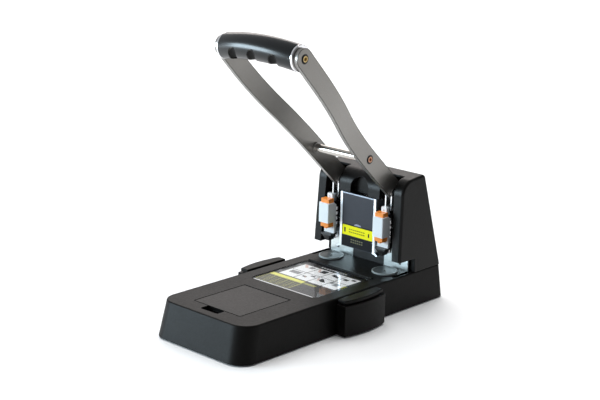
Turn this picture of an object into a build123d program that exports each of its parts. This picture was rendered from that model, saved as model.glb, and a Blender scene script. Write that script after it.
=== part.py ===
"""Heavy-duty two-hole punch worked by a long lever. Millimetres, +Z up, +Y to the rear, +X right.

The origin is on the table, in the middle of the base's footprint.
"""

from build123d import *
from math import atan2, cos, degrees, radians, sin, sqrt
import os

os.makedirs("parts", exist_ok=True)
SIDES = (("left", -1), ("right", 1))

# ---- what the punch does to the paper
hole_pitch = 80.0  # between the two holes
hole_margin = 12.0  # from the hole's middle to the edge of the sheet
punch_radius = 2.75
sheet_half_width = 148.5  # widest sheet that the side guides take
half_pitch = hole_pitch / 2

# ---- base
foot_height = 1.5
foot_radius = 9.0
foot_inset_x = 21.2
foot_inset_y = 26.5
deck_z = 40.0
base_half_width = half_pitch + 27.2
base_length = 325.0
front_draft = 9.0  # how far each wall leans in at deck height
rear_draft = 4.0
side_draft = 2.8
front_corner = 20.0
rear_corner = 5.0
base_edge = 1.8
shell_wall = 3.0
deck_thickness = 3.0
cover_thickness = 2.0
cover_gap = 0.5
joint_gap = 0.3  # between covers and panels
running_gap = 0.05  # radial, round a shaft or pin that turns or slides
slide_gap = 0.2  # round a flat sliding bar or rib
base_front_y = -base_length / 2
base_rear_y = base_length / 2
stop_y = base_rear_y - 55.0  # where the sheets' edge comes to rest
punch_y = stop_y - hole_margin

# ---- screws of the bottom cover
boss_inset = 15.2
boss_front_y = base_front_y + 52.5
boss_radius = 4.5
boss_hole_radius = 1.6
boss_hole_depth = 12.0
cover_screw_length = 10.0
cover_screw_head_radius = 3.4
cover_screw_head_height = 1.0
cover_screw_sink = 0.2
cover_socket_radius = 1.1
cover_socket_depth = 0.5

# ---- guide card under its clear window
window_width = 96.0
window_length = 92.0
window_rear_y = stop_y - 51.0
window_front_y = window_rear_y - window_length
window_corner = 6.0
window_recess = 2.0
window_pad = 2.0
card_thickness = 0.5
card_margin = 0.6
window_thickness = 1.2
window_edge = 0.4
ridge_gap = 1.0
ridge_width = 3.0
ridge_corner = 1.2
ridge_height = 1.2

# ---- storage compartment and its lid
lid_width = 69.0
lid_front_y = base_front_y + 30.2
lid_rear_y = window_front_y - 21.9
lid_thickness = 3.0
lid_gap = 0.5
lid_corner = 2.0
tub_wall = 2.0
tub_floor_z = 8.0
lid_ledge = 2.5
lid_pin_setback = 0.6
lid_pin_length = 2.9
lid_rear_edge = 1.4
lid_pin_radius = 1.0
notch_width = 25.0
notch_length = 11.0
notch_depth = 5.0

# ---- cutting discs
disc_radius = 14.5
disc_offset = 6.8  # the disc's middle is this far in front of the punch
disc_proud = 1.6
disc_rim = 1.2
disc_dish = 0.4
disc_dimple_radius = 0.9
disc_dimple_depth = 1.5

# ---- shallow pockets in the deck, outside the discs
pocket_rim = 1.9
pocket_width = 5.2
pocket_length = 28.5
pocket_depth = 1.6

# ---- steel frame
bed_thickness = 6.0
cheek_thickness = 3.0
cheek_x = half_pitch + 15.8  # inner face of the two tall side plates
back_thickness = 3.0
stop_thickness = 2.0
stop_inner_x = half_pitch - 16.8
stop_outer_x = cheek_x + 1.6
stop_step_z = 58.0  # the stop and the back plate are narrower from here up
stop_top_z = 62.5
stop_screw_x = half_pitch + 6.2
stop_screw_z = 47.0
stop_screw_radius = 1.9
stop_screw_depth = 1.6
back_top_z = 95.0
bed_front_y = stop_y - 35.5
bed_rear_y = base_rear_y - 15.5
frame_front_y = stop_y - 11.5  # front of the side plates over the throat
frame_bend_z = 70.0
frame_brow = 14.0
frame_top_z = 138.0
throat_clear_z = 62.0  # the side plates stay above this in the throat

# ---- lever
lever_swing = 55.0
lever_lean = 136.0  # direction of the arms at rest, from +Y towards +Z
lever_length = 256.0
crank_radius = 20.25
arm_width = 21.6
arm_thickness = 5.0
arm_sag = 3.0
arm_low_x = half_pitch - 1.0
arm_high_x = half_pitch + 16.0
arm_bend_from = 80.0
arm_bend_to = 225.0
hub_radius = 12.0
shaft_radius = 6.0
bush_wall = 2.0
bush_flange = 1.0
bush_rim = 1.5
clip_width = 0.9
clip_radius = 9.0
spacer_radius = 7.8
grip_radius = 13.8
grip_crown = 7.0
ring_width = 2.4
ring_gap = 0.3
ring_edge = 0.6
grip_rod_radius = 5.0
finger_radius = 5.6
finger_depth = 5.0
finger_slant = 32.0
finger_places = (-30.0, -1.5, 27.0)
crossbar_radius = 4.5
collar_radius = 6.0
collar_width = 2.0
screw_head_radius = 4.0
screw_head_height = 2.4
screw_recess = 1.6
screw_shank_radius = 2.5
screw_shank_length = 10.0
hex_socket = 3.6  # across the flats
hex_depth = 1.8

# ---- links
link_length = 18.0
link_radius = 5.0
link_tip_radius = 4.5
link_waist = 8.0
link_thickness = 1.5
link_gap = 0.7
crank_pin_radius = 2.5
wrist_pin_radius = 2.0
pin_head_radius = 3.1
crank_head_radius = 3.5
pin_head_height = 1.2
pin_end_gap = 0.1
wrist_slack = 0.3  # room for the open joint between each link and its punch

# ---- punch stations
upper_pin_z = 130.1
punch_gap_closed = 0.3  # over the disc at the end of the stroke
foot_gap_closed = 0.5
head_half_width = 6.0
head_half_depth = 5.5
head_floor_z = 101.0
saddle_height = 5.0
tongue_half_depth = 4.5
tongue_edge = 3.0
tongue_side_gap = 0.3
tongue_top_over_pin = 3.9
lug_half_width = 2.6
lug_low_z = head_floor_z + 0.4
lug_high_z = lug_low_z + 3.0
lug_reach = 0.6
lug_gap = 0.4
punch_seat = 3.0
punch_hollow_length = 14.0
chip_bore_radius = 2.0
chip_slot_half_width = 1.2
chip_slot_low = 9.0
chip_slot_high = 14.0
grind_radius = 5.0
grind_rise = 0.8
guide_low_z = 70.0
guide_height = 6.0
guide_half_width = 7.5
guide_front_gap = 0.3
carrier_y = punch_y - 12.3
carrier_thickness = 3.0
carrier_half_width = 7.4
carrier_low_z = 69.5
carrier_shoulder_z = 104.0
carrier_top_z = 116.0
carrier_tab_half_width = 3.7
carrier_corner = 1.3
carrier_tab_hole_radius = 0.9
rib_top_z = 96.0
rib_neck_half_width = 1.1
rib_neck_depth = 1.5
rib_head_half_width = 2.6
rib_head_depth = 1.6
cartridge_half_width = 6.1
cartridge_depth = 8.2
cartridge_low_z = 77.8
cartridge_top_z = 110.6
cartridge_corner = 0.8
nib_half_width = 1.7
nib_height = 2.2
nib_setback = 1.6
sleeve_depth = 10.2
sleeve_half_width = 7.5
sleeve_corner = 1.2
sleeve_low_z = 83.0
sleeve_top_z = 106.0
wedge_front_y = carrier_y - 5.2
wedge_plate = 2.2
wedge_sole_half_width = 2.2
wedge_root_half_width = 5.6
wedge_rake = 2.5
spring_wire = 1.2
spring_radius = 4.4  # to the middle of the wire
spring_turns = 4.0

# ---- label panel between the punch stations
panel_cheek_x = half_pitch - 17.0
panel_cheek_thickness = 3.0
panel_front_y = stop_y - 21.5
panel_low_z = 57.5
panel_top_z = 121.2
panel_depth = 8.0
panel_skin = 1.5
panel_inset = 0.5
panel_web_top_z = 103.0
panel_web_low_z = 59.5
panel_step = 6.0
rail_height = 1.4
rail_depth = 2.8
toe_length = 4.5
toe_drop = 2.5
toe_tip = 0.8
toe_root = 1.5
toe_depth = 6.0

# ---- tower housing
cowl_wall = 2.5
cowl_half_low = half_pitch + 24.7
cowl_half_high = half_pitch + 22.0
cowl_front_y = stop_y - 23.5
cowl_front_lean = 0.0467  # rise of y for each millimetre up
cowl_lip_z = 56.0
cowl_leg_y = stop_y + 4.0
cowl_rear_y = base_rear_y - rear_draft - 0.5
cowl_top_rear_y = cowl_rear_y - 31.2
cowl_top_z = 150.0
cowl_top_slope = 0.107
cowl_brow_radius = 17.5
cowl_rear_radius = 5.0
cowl_edge = 2.8
slot_inner_x = half_pitch - 10.5
slot_low_x = cheek_x - 2.8
slot_high_x = slot_low_x - 4.1
slot_rear_y = stop_y - joint_gap
nose_low_z = 121.2
nose_rear_y = stop_y - 3.5
arch_half_width = 13.0
arch_top_z = 141.0
arch_depth = 8.0

# ---- side guides for the paper
guide_block_front_y = stop_y - 130.0
guide_block_rear_y = stop_y - 65.0
guide_inner_x = base_half_width + 0.4
guide_end_x = guide_inner_x + 12.4
guide_bulge = 4.0
guide_floor_z = 2.0
guide_shoulder_z = 35.2
guide_lip_inset = 2.4
guide_lip_low_z = 36.8
guide_lip_edge = 0.9
guide_lip_top_z = deck_z + 0.4
guide_lip_setback = 2.0
guide_root_setback = 2.0
guide_root_x = guide_inner_x + 4.4
bar_width = 8.0
bar_height = 3.0
bar_z = 11.0
bar_socket = 6.0
bar_hold = 6.0  # of each bar left in the runner at full reach
bar_places = {
    "left": (guide_block_front_y + 16.5, guide_block_front_y + 54.5),
    "right": (guide_block_front_y + 4.5, guide_block_front_y + 42.5),
}  # lower y of each bar
runner_x = cheek_x - 1.0
runner_roof = 3.0
runner_end = 4.0

# ---- values that follow from the ones above
disc_y = punch_y - disc_offset
disc_top_z = deck_z + disc_proud
half_swing = radians(lever_swing / 2)
punch_travel = 2 * crank_radius * sin(half_swing)
holder_travel = punch_travel + punch_gap_closed - foot_gap_closed
tip_z = disc_top_z + punch_gap_closed + punch_travel
wedge_z = disc_top_z + foot_gap_closed + holder_travel
bed_top_z = deck_z - deck_thickness
pivot_y = punch_y + crank_radius * cos(half_swing)
pivot_z = upper_pin_z - crank_radius * sin(half_swing)
lower_pin_z = upper_pin_z - link_length
crank_side_step = crank_radius * (1 - cos(half_swing))
back_y = stop_y + stop_thickness
stop_upper_x = slot_low_x - 0.4
cover_top_z = foot_height + cover_thickness
boss_rear_y = bed_front_y - 10.0
deck_shift = (front_draft - rear_draft) / 2
guide_reach = sheet_half_width - guide_inner_x
bar_length = guide_inner_x + bar_socket - runner_x + guide_reach + bar_hold
shaft_end_x = cheek_x + cheek_thickness + clip_width + 0.2
lean = radians(lever_lean)
along = (0, cos(lean), sin(lean))
lid_axis_y = lid_rear_y - lid_gap - lid_thickness / 2 - lid_pin_setback
lid_axis_z = deck_z - lid_thickness / 2
lid_sweep = lid_thickness / 2 + lid_pin_setback + lid_gap  # of its rear edge, round the pins
beyond = 4 * base_length  # longer than anything here, for cuts that run right through


def facing_front(y):
    """Plane at y, drawn in (x, z); a positive extrusion comes forward."""
    return Plane(origin=(0, y, 0), x_dir=(1, 0, 0), z_dir=(0, -1, 0))


def facing_right(x):
    """Plane at x, drawn in (y, z); a positive extrusion goes to +X."""
    return Plane(origin=(x, 0, 0), x_dir=(0, 1, 0), z_dir=(1, 0, 0))


def lever_side(x):
    """Plane at x, drawn in (distance from the pivot along the arm, distance under it)."""
    return Plane(origin=(x, pivot_y, pivot_z), x_dir=along, z_dir=(1, 0, 0))


def lever_plan():
    """Plane through the pivot and the grip, drawn in (distance along the arm, x)."""
    return Plane(origin=(0, pivot_y, pivot_z), x_dir=along, z_dir=(0, along[2], -along[1]))


def on_lever(distance, under):
    """(y, z) of a point of the lever at rest."""
    return (
        pivot_y + along[1] * distance - along[2] * under,
        pivot_z + along[2] * distance + along[1] * under,
    )


def block(x0, x1, y0, y1, z0, z1, mode=Mode.ADD):
    """Rectangular block between two corners."""
    with BuildSketch(Plane.XY.offset(z0)) as foot:
        with Locations(((x0 + x1) / 2, (y0 + y1) / 2)):
            Rectangle(abs(x1 - x0), y1 - y0)
    extrude(foot.sketch, amount=z1 - z0, mode=mode)


def rod_x(x0, x1, y, z, radius, mode=Mode.ADD):
    """Round bar along X."""
    with BuildSketch(facing_right(x0)) as end:
        with Locations((y, z)):
            Circle(radius)
    extrude(end.sketch, amount=x1 - x0, mode=mode)


def rod_z(x, y, z0, z1, radius, mode=Mode.ADD):
    """Round bar along Z."""
    with BuildSketch(Plane.XY.offset(z0)) as end:
        with Locations((x, y)):
            Circle(radius)
    extrude(end.sketch, amount=z1 - z0, mode=mode)


def side_profile(points, x0, x1, mode=Mode.ADD):
    """Plate along X whose outline is given in (y, z)."""
    with BuildSketch(facing_right(x0)) as outline:
        with BuildLine():
            Polyline(*points, close=True)
        make_face()
    extrude(outline.sketch, amount=x1 - x0, mode=mode)


# ==== base ====================================================================================
def drafted_block(inset, low_z, high_z, mode):
    """The base's drafted outer form, or the same form set in by a wall."""
    outlines = []
    for z in (low_z, high_z):
        share = (z - foot_height) / (deck_z - foot_height)
        width = 2 * (base_half_width - share * side_draft - inset)
        length = base_length - share * (front_draft + rear_draft) - 2 * inset
        with BuildSketch(Plane.XY.offset(z)) as outline:
            with Locations((0, share * deck_shift)):
                Rectangle(width, length)
            fillet(outline.vertices().group_by(Axis.Y)[0], front_corner - inset)
            fillet(outline.vertices().group_by(Axis.Y)[-1], rear_corner - inset)
        outlines.append(outline.sketch)
    loft(outlines, mode=mode)


tub_inner_x = lid_width / 2 - lid_ledge
tub_front_y = lid_front_y + lid_ledge
tub_rear_y = lid_rear_y - lid_ledge
notch_front_y = lid_front_y - notch_length
boss_places = [(side * (base_half_width - boss_inset), y) for _, side in SIDES
               for y in (boss_front_y, boss_rear_y)]

with BuildPart() as base_shell:
    drafted_block(0, foot_height, deck_z, Mode.ADD)
    fillet(base_shell.edges().group_by(Axis.Z)[-1], base_edge)
    drafted_block(shell_wall, foot_height, bed_top_z, Mode.SUBTRACT)
    # storage compartment hanging under the deck, and the finger notch in front of its lid
    tub_outer_x = lid_width / 2 + tub_wall
    block(-tub_outer_x, tub_outer_x, lid_front_y - tub_wall, lid_rear_y + tub_wall,
          tub_floor_z - tub_wall, bed_top_z)
    notch_outer_x = notch_width / 2 + tub_wall
    block(-notch_outer_x, notch_outer_x, notch_front_y - tub_wall, lid_front_y,
          deck_z - notch_depth - tub_wall, bed_top_z)
    block(-tub_inner_x, tub_inner_x, tub_front_y, tub_rear_y, tub_floor_z, deck_z, Mode.SUBTRACT)
    with BuildSketch(Plane.XY.offset(deck_z)):
        with Locations((0, (lid_front_y + lid_rear_y) / 2)):
            RectangleRounded(lid_width, lid_rear_y - lid_front_y, lid_corner)
    extrude(amount=-lid_thickness, mode=Mode.SUBTRACT)
    # the lid's rear edge swings down a little when it opens
    block(-lid_width / 2, lid_width / 2, lid_axis_y - lid_sweep, lid_rear_y, lid_axis_z - lid_sweep,
          deck_z, Mode.SUBTRACT)
    with BuildSketch(Plane.XY.offset(deck_z)):
        with Locations((0, notch_front_y + (notch_length + joint_gap) / 2)):
            RectangleRounded(notch_width, notch_length + joint_gap, lid_corner)
    extrude(amount=-notch_depth, mode=Mode.SUBTRACT)
    for _, side in SIDES:
        rod_x(side * tub_inner_x, side * (lid_width / 2 + tub_wall), lid_axis_y, lid_axis_z,
              lid_pin_radius + running_gap, Mode.SUBTRACT)
    # shallow recess for the guide card, with a ridge behind it
    pad_x = window_width / 2 + window_pad
    block(-pad_x, pad_x, window_front_y - window_pad, window_rear_y + window_pad,
          bed_top_z - window_recess, bed_top_z)
    with BuildSketch(Plane.XY.offset(deck_z)):
        with Locations((0, (window_front_y + window_rear_y) / 2)):
            RectangleRounded(window_width, window_length, window_corner)
    extrude(amount=-window_recess, mode=Mode.SUBTRACT)
    with BuildSketch(Plane.XY.offset(deck_z)):
        with Locations((0, window_rear_y + ridge_gap + ridge_width / 2)):
            RectangleRounded(window_width, ridge_width, ridge_corner)
    extrude(amount=ridge_height)
    # round pockets for the cutting discs, and the opening that the frame rises through
    for _, side in SIDES:
        rod_z(side * half_pitch, disc_y, bed_top_z, deck_z, disc_radius + joint_gap, Mode.SUBTRACT)
    pocket_outer_x = base_half_width - side_draft - pocket_rim
    for _, side in SIDES:
        block(side * (pocket_outer_x - pocket_width), side * pocket_outer_x, stop_y - pocket_length,
              stop_y, deck_z - pocket_depth, deck_z, Mode.SUBTRACT)
    frame_room_x = stop_outer_x + joint_gap
    frame_room_y = bed_rear_y + joint_gap
    block(-frame_room_x, frame_room_x, stop_y, frame_room_y, bed_top_z, deck_z, Mode.SUBTRACT)
    frame_room_x = cheek_x + cheek_thickness + joint_gap
    block(-frame_room_x, frame_room_x, cowl_leg_y + cowl_wall / 2, frame_room_y, bed_top_z, deck_z,
          Mode.SUBTRACT)
    # slots for the bars of the side guides
    for name, side in SIDES:
        for low_y in bar_places[name]:
            block(side * cheek_x, side * guide_end_x, low_y - slide_gap, low_y + bar_width + slide_gap,
                  bar_z - slide_gap, bar_z + bar_height + slide_gap, Mode.SUBTRACT)
    # bosses for the screws that hold the bottom cover
    for x, y in boss_places:
        rod_z(x, y, cover_top_z, bed_top_z, boss_radius)
        rod_z(x, y, cover_top_z, cover_top_z + boss_hole_depth, boss_hole_radius, Mode.SUBTRACT)
base_shell.part.label = "base_shell"
export_step(base_shell.part, "parts/base_shell.step")

cover_inset = shell_wall + cover_gap
screw_head_z = foot_height + cover_screw_sink
screw_seat_z = screw_head_z + cover_screw_head_height
with BuildPart() as bottom_cover:
    with BuildSketch(Plane.XY.offset(foot_height)) as outline:
        Rectangle(2 * (base_half_width - cover_inset), base_length - 2 * cover_inset)
        fillet(outline.vertices().group_by(Axis.Y)[0], front_corner - cover_inset)
        fillet(outline.vertices().group_by(Axis.Y)[-1], rear_corner - shell_wall)
    extrude(amount=cover_thickness)
    for x, y in boss_places:
        rod_z(x, y, foot_height, cover_top_z, boss_hole_radius, Mode.SUBTRACT)
        rod_z(x, y, foot_height, screw_seat_z, cover_screw_head_radius, Mode.SUBTRACT)
bottom_cover.part.label = "bottom_cover"
export_step(bottom_cover.part, "parts/bottom_cover.step")

with BuildPart() as bottom_screws:
    for x, y in boss_places:
        rod_z(x, y, screw_head_z, screw_seat_z, cover_screw_head_radius)
        rod_z(x, y, screw_seat_z, cover_top_z + cover_screw_length, boss_hole_radius)
        # socket for the driver
        rod_z(x, y, screw_head_z, screw_head_z + cover_socket_depth, cover_socket_radius, Mode.SUBTRACT)
bottom_screws.part.label = "bottom_screws"
export_step(bottom_screws.part, "parts/bottom_screws.step")

foot_y = base_rear_y - foot_inset_y
with BuildPart() as rubber_feet:
    for _, side in SIDES:
        for y in (-foot_y, foot_y):
            rod_z(side * (base_half_width - foot_inset_x), y, 0, foot_height, foot_radius)
rubber_feet.part.label = "rubber_feet"
export_step(rubber_feet.part, "parts/rubber_feet.step")

recess_floor_z = deck_z - window_recess
with BuildPart() as guide_card:
    with BuildSketch(Plane.XY.offset(recess_floor_z)):
        with Locations((0, (window_front_y + window_rear_y) / 2)):
            RectangleRounded(window_width - 2 * card_margin, window_length - 2 * card_margin,
                             window_corner - card_margin)
    extrude(amount=card_thickness)
guide_card.part.label = "guide_card"
export_step(guide_card.part, "parts/guide_card.step")

with BuildPart() as clear_window:
    with BuildSketch(Plane.XY.offset(recess_floor_z + card_thickness)):
        with Locations((0, (window_front_y + window_rear_y) / 2)):
            RectangleRounded(window_width - joint_gap, window_length - joint_gap,
                             window_corner - joint_gap / 2)
    extrude(amount=window_thickness)
    fillet(clear_window.edges().group_by(Axis.Z)[-1], window_edge)
clear_window.part.label = "clear_window"
export_step(clear_window.part, "parts/clear_window.step")

with BuildPart() as storage_lid:
    with BuildSketch(Plane.XY.offset(deck_z - lid_thickness)):
        with Locations((0, (lid_front_y + lid_rear_y) / 2)):
            Rectangle(lid_width - 2 * lid_gap, lid_rear_y - lid_front_y - 2 * lid_gap)
        fillet(vertices().group_by(Axis.Y)[0], lid_corner - lid_gap)
    extrude(amount=lid_thickness)
    # rounded rear edge, so that the lid can swing up inside its opening
    fillet(storage_lid.edges().filter_by(Axis.X).group_by(Axis.Y)[-1], lid_rear_edge)
    for _, side in SIDES:
        pin_end_x = lid_width / 2 + tub_wall - joint_gap
        rod_x(side * (pin_end_x - lid_pin_length), side * pin_end_x, lid_axis_y, lid_axis_z, lid_pin_radius)
storage_lid.part.label = "storage_lid"
export_step(storage_lid.part, "parts/storage_lid.step")

# ==== cutting discs ===========================================================================
for name, side in SIDES:
    with BuildPart() as cutting_disc:
        rod_z(side * half_pitch, disc_y, bed_top_z, disc_top_z, disc_radius)
        fillet(cutting_disc.edges().group_by(Axis.Z)[-1], disc_dish)
        with BuildSketch(Plane.XY.offset(disc_top_z)):
            with Locations((side * half_pitch, disc_y)):
                Circle(disc_radius - disc_rim)
                Circle(2 * disc_dimple_radius, mode=Mode.SUBTRACT)
        extrude(amount=-disc_dish, mode=Mode.SUBTRACT)
        rod_z(side * half_pitch, disc_y, disc_top_z - disc_dimple_depth, disc_top_z, disc_dimple_radius,
              Mode.SUBTRACT)
    cutting_disc.part.label = f"cutting_disc_{name}"
    export_step(cutting_disc.part, f"parts/cutting_disc_{name}.step")

# ==== steel frame =============================================================================
leg_front_y = cowl_leg_y + cowl_wall + joint_gap
leg_rear_y = bed_rear_y - cheek_thickness
with BuildPart() as bed_plate:
    block(-cheek_x, cheek_x, bed_front_y, bed_rear_y, bed_top_z - bed_thickness, bed_top_z)
bed_plate.part.label = "bed_plate"
export_step(bed_plate.part, "parts/bed_plate.step")

for name, side in SIDES:
    with BuildPart() as side_plate:
        outline = [
            (bed_front_y, cover_top_z), (bed_rear_y, cover_top_z), (bed_rear_y, bed_top_z),
            (leg_rear_y, bed_top_z), (leg_rear_y, frame_bend_z), (cowl_top_rear_y - 1.0, frame_top_z),
            (nose_rear_y, frame_top_z), (frame_front_y, frame_top_z - frame_brow),
            (frame_front_y, throat_clear_z),
            (leg_front_y, throat_clear_z), (leg_front_y, bed_top_z), (bed_front_y, bed_top_z),
        ]
        side_profile(outline, side * cheek_x, side * (cheek_x + cheek_thickness))
        rod_x(side * cheek_x, side * (cheek_x + cheek_thickness), pivot_y, pivot_z, shaft_radius,
              Mode.SUBTRACT)
    side_plate.part.label = f"side_plate_{name}"
    export_step(side_plate.part, f"parts/side_plate_{name}.step")

with BuildPart() as back_plate:
    block(-cheek_x, cheek_x, back_y, back_y + back_thickness, bed_top_z, stop_step_z)
    block(-stop_upper_x, stop_upper_x, back_y, back_y + back_thickness, stop_step_z, back_top_z)
back_plate.part.label = "back_plate"
export_step(back_plate.part, "parts/back_plate.step")

for name, side in SIDES:
    with BuildPart() as paper_stop:
        with BuildSketch(facing_front(back_y)):
            for edge_x, top_z in ((stop_outer_x, stop_step_z), (stop_upper_x, stop_top_z)):
                with Locations((side * (stop_inner_x + edge_x) / 2, (bed_top_z + top_z) / 2)):
                    Rectangle(edge_x - stop_inner_x, top_z - bed_top_z)
            with Locations((side * stop_screw_x, stop_screw_z)):
                Circle(stop_screw_radius, mode=Mode.SUBTRACT)
        extrude(amount=stop_thickness)
    paper_stop.part.label = f"paper_stop_{name}"
    export_step(paper_stop.part, f"parts/paper_stop_{name}.step")

with BuildPart() as stop_screws:
    for _, side in SIDES:
        with BuildSketch(facing_front(back_y)):
            with Locations((side * stop_screw_x, stop_screw_z)):
                Circle(stop_screw_radius)
        extrude(amount=stop_screw_depth)
stop_screws.part.label = "stop_screws"
export_step(stop_screws.part, "parts/stop_screws.step")

with BuildPart() as throat_block:
    block(-stop_inner_x, stop_inner_x, stop_y + joint_gap, back_y, bed_top_z, panel_web_low_z)
throat_block.part.label = "throat_block"
export_step(throat_block.part, "parts/throat_block.step")

# ==== label panel =============================================================================
panel_cheek_out = panel_cheek_x + panel_cheek_thickness
with BuildPart() as panel_bracket:
    for _, side in SIDES:
        cheek = [
            (panel_front_y, panel_low_z), (stop_y, panel_low_z), (stop_y, panel_web_top_z),
            (nose_rear_y - joint_gap, panel_web_top_z + panel_step),
            (nose_rear_y - joint_gap, panel_top_z - joint_gap), (panel_front_y, panel_top_z - joint_gap),
        ]
        side_profile(cheek, side * panel_cheek_x, side * panel_cheek_out)
        # toe bent out at the foot of each cheek
        with BuildSketch(facing_front(panel_front_y)):
            with BuildLine():
                Polyline(
                    (side * panel_cheek_x, panel_low_z + toe_root),
                    (side * panel_cheek_out, panel_low_z + toe_root),
                    (side * (panel_cheek_out + toe_length), panel_low_z - toe_drop + toe_root),
                    (side * (panel_cheek_out + toe_length - toe_tip), panel_low_z - toe_drop),
                    (side * panel_cheek_x, panel_low_z), close=True,
                )
            make_face()
        extrude(amount=-toe_depth)
    block(-panel_cheek_x, panel_cheek_x, stop_y - panel_cheek_thickness, stop_y, panel_low_z,
          panel_web_top_z)
panel_bracket.part.label = "panel_bracket"
export_step(panel_bracket.part, "parts/panel_bracket.step")

with BuildPart() as label_panel:
    label_front_y = panel_front_y + panel_inset
    label_rear_y = panel_front_y + panel_depth
    label_top_z = panel_top_z - rail_height - joint_gap
    hollow_x = panel_cheek_x - panel_skin
    block(-panel_cheek_x, panel_cheek_x, label_front_y, label_rear_y, panel_low_z, label_top_z)
    block(-hollow_x, hollow_x, label_front_y + panel_skin, label_rear_y, panel_low_z + panel_skin,
          label_top_z - panel_skin, Mode.SUBTRACT)
label_panel.part.label = "label_panel"
export_step(label_panel.part, "parts/label_panel.step")

with BuildPart() as panel_rail:
    rail_front_y = panel_front_y + panel_inset / 2
    block(-panel_cheek_x, panel_cheek_x, rail_front_y, rail_front_y + rail_depth, label_top_z,
          label_top_z + rail_height)
panel_rail.part.label = "panel_rail"
export_step(panel_rail.part, "parts/panel_rail.step")

# ==== tower housing ===========================================================================
def front_y(z):
    return cowl_front_y + (z - cowl_lip_z) * cowl_front_lean


def roof_z(y):
    return cowl_top_z - (cowl_top_rear_y - y) * cowl_top_slope


def rear_y(z):
    return cowl_rear_y + (cowl_top_rear_y - cowl_rear_y) * (z - deck_z) / (cowl_top_z - deck_z)


def brow_corner(inset):
    """Where the housing's front line and roof line would meet, set in by a wall."""
    # solve z = roof_z(front_y(z) + inset) - inset
    top = cowl_top_z - inset
    z = (top - cowl_top_slope * (cowl_top_rear_y - inset - cowl_front_y + cowl_lip_z * cowl_front_lean))
    z = z / (1 - cowl_top_slope * cowl_front_lean)
    return (front_y(z) + inset, z)


def housing_profile(x0, x1, inset, low_z, start_y, mode):
    """Slice of the housing's side form, set in by a wall, from start_y to the rear."""
    corner = brow_corner(inset)
    with BuildSketch(facing_right(x0)) as outline:
        with BuildLine():
            Polyline(
                (rear_y(low_z) - inset, low_z),
                (cowl_top_rear_y - inset, roof_z(cowl_top_rear_y) - inset),
                corner, (front_y(low_z) + inset, low_z), close=True,
            )
        make_face()
        fillet(vertices().sort_by_distance((*corner, 0))[0], cowl_brow_radius - inset)
        rear_corner_point = (cowl_top_rear_y - inset, roof_z(cowl_top_rear_y) - inset, 0)
        fillet(vertices().sort_by_distance(rear_corner_point)[0], cowl_rear_radius - inset)
        with Locations((start_y + beyond / 2, 0)):
            Rectangle(beyond, beyond, mode=Mode.INTERSECT)
    extrude(outline.sketch, amount=x1 - x0, mode=mode)


def slot_band(side, y0, y1, low_z, high_z, mode):
    """The space that each arm swings in, which narrows upwards."""

    def outer_x(z):
        return slot_low_x + (slot_high_x - slot_low_x) * (z - cowl_lip_z) / (cowl_top_z - cowl_lip_z)

    with BuildSketch(facing_front(y1)) as outline:
        with BuildLine():
            Polyline((side * slot_inner_x, low_z), (side * outer_x(low_z), low_z),
                     (side * outer_x(high_z), high_z), (side * slot_inner_x, high_z), close=True)
        make_face()
    extrude(outline.sketch, amount=y1 - y0, mode=mode)


with BuildPart() as tower_housing:
    housing_profile(-cowl_half_low, cowl_half_low, 0, deck_z, 0, Mode.ADD)
    # both sides lean in towards the top
    with BuildSketch(facing_front(beyond)):
        with BuildLine():
            Polyline((-cowl_half_low, deck_z), (cowl_half_low, deck_z), (cowl_half_high, cowl_top_z),
                     (-cowl_half_high, cowl_top_z), close=True)
        make_face()
    extrude(amount=2 * beyond, mode=Mode.INTERSECT)
    sides = tower_housing.faces().sort_by(Axis.X)
    outer_edges = ShapeList(sides[0].edges() + sides[-1].edges())
    fillet(outer_edges.filter_by(lambda edge: edge.center().Z > deck_z + cowl_edge), cowl_edge)
    # throat for the paper, under the two columns
    block(-beyond, beyond, 0, cowl_leg_y, 0, cowl_lip_z, Mode.SUBTRACT)
    # hollow behind
    shell_x = shaft_end_x + joint_gap
    housing_profile(-shell_x, shell_x, cowl_wall, 0, cowl_leg_y + cowl_wall, Mode.SUBTRACT)
    housing_profile(-slot_low_x, slot_low_x, cowl_wall, 0, nose_rear_y, Mode.SUBTRACT)
    # hollow columns
    for _, side in SIDES:
        inner, outer = side * (slot_low_x + cowl_wall), side * shell_x
        housing_profile(inner, outer, cowl_wall, cowl_lip_z + cowl_wall, 0, Mode.SUBTRACT)
    # open front between the columns, and a slot in the roof for each arm
    block(-slot_inner_x, slot_inner_x, 0, stop_y, 0, nose_low_z, Mode.SUBTRACT)
    for _, side in SIDES:
        slot_band(side, 0, slot_rear_y, cowl_lip_z - cowl_wall, cowl_top_z + cowl_wall, Mode.SUBTRACT)
    # legs stand beside the steel frame
    leg_inner_x = stop_outer_x + joint_gap
    block(-leg_inner_x, leg_inner_x, slot_rear_y, leg_front_y, 0, stop_step_z + joint_gap, Mode.SUBTRACT)
    for _, side in SIDES:
        rod_x(side * half_pitch, side * cheek_x, pivot_y, pivot_z, spacer_radius + joint_gap,
              Mode.SUBTRACT)
    # arched recess in the nose
    with BuildSketch(facing_front(front_y(nose_low_z) + arch_depth)):
        with Locations((0, (nose_low_z - cowl_wall + arch_top_z - arch_half_width) / 2)):
            Rectangle(2 * arch_half_width, arch_top_z - arch_half_width - nose_low_z + cowl_wall)
        with Locations((0, arch_top_z - arch_half_width)):
            Circle(arch_half_width)
    extrude(amount=beyond, mode=Mode.SUBTRACT)
tower_housing.part.label = "tower_housing"
export_step(tower_housing.part, "parts/tower_housing.step")

# ==== shaft of the lever ======================================================================
hub_low_x = arm_low_x - arm_thickness / 2
hub_high_x = arm_low_x + arm_thickness / 2
with BuildPart() as lever_shaft:
    rod_x(-shaft_end_x, shaft_end_x, pivot_y, pivot_z, shaft_radius)
lever_shaft.part.label = "lever_shaft"
export_step(lever_shaft.part, "parts/lever_shaft.step")

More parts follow.
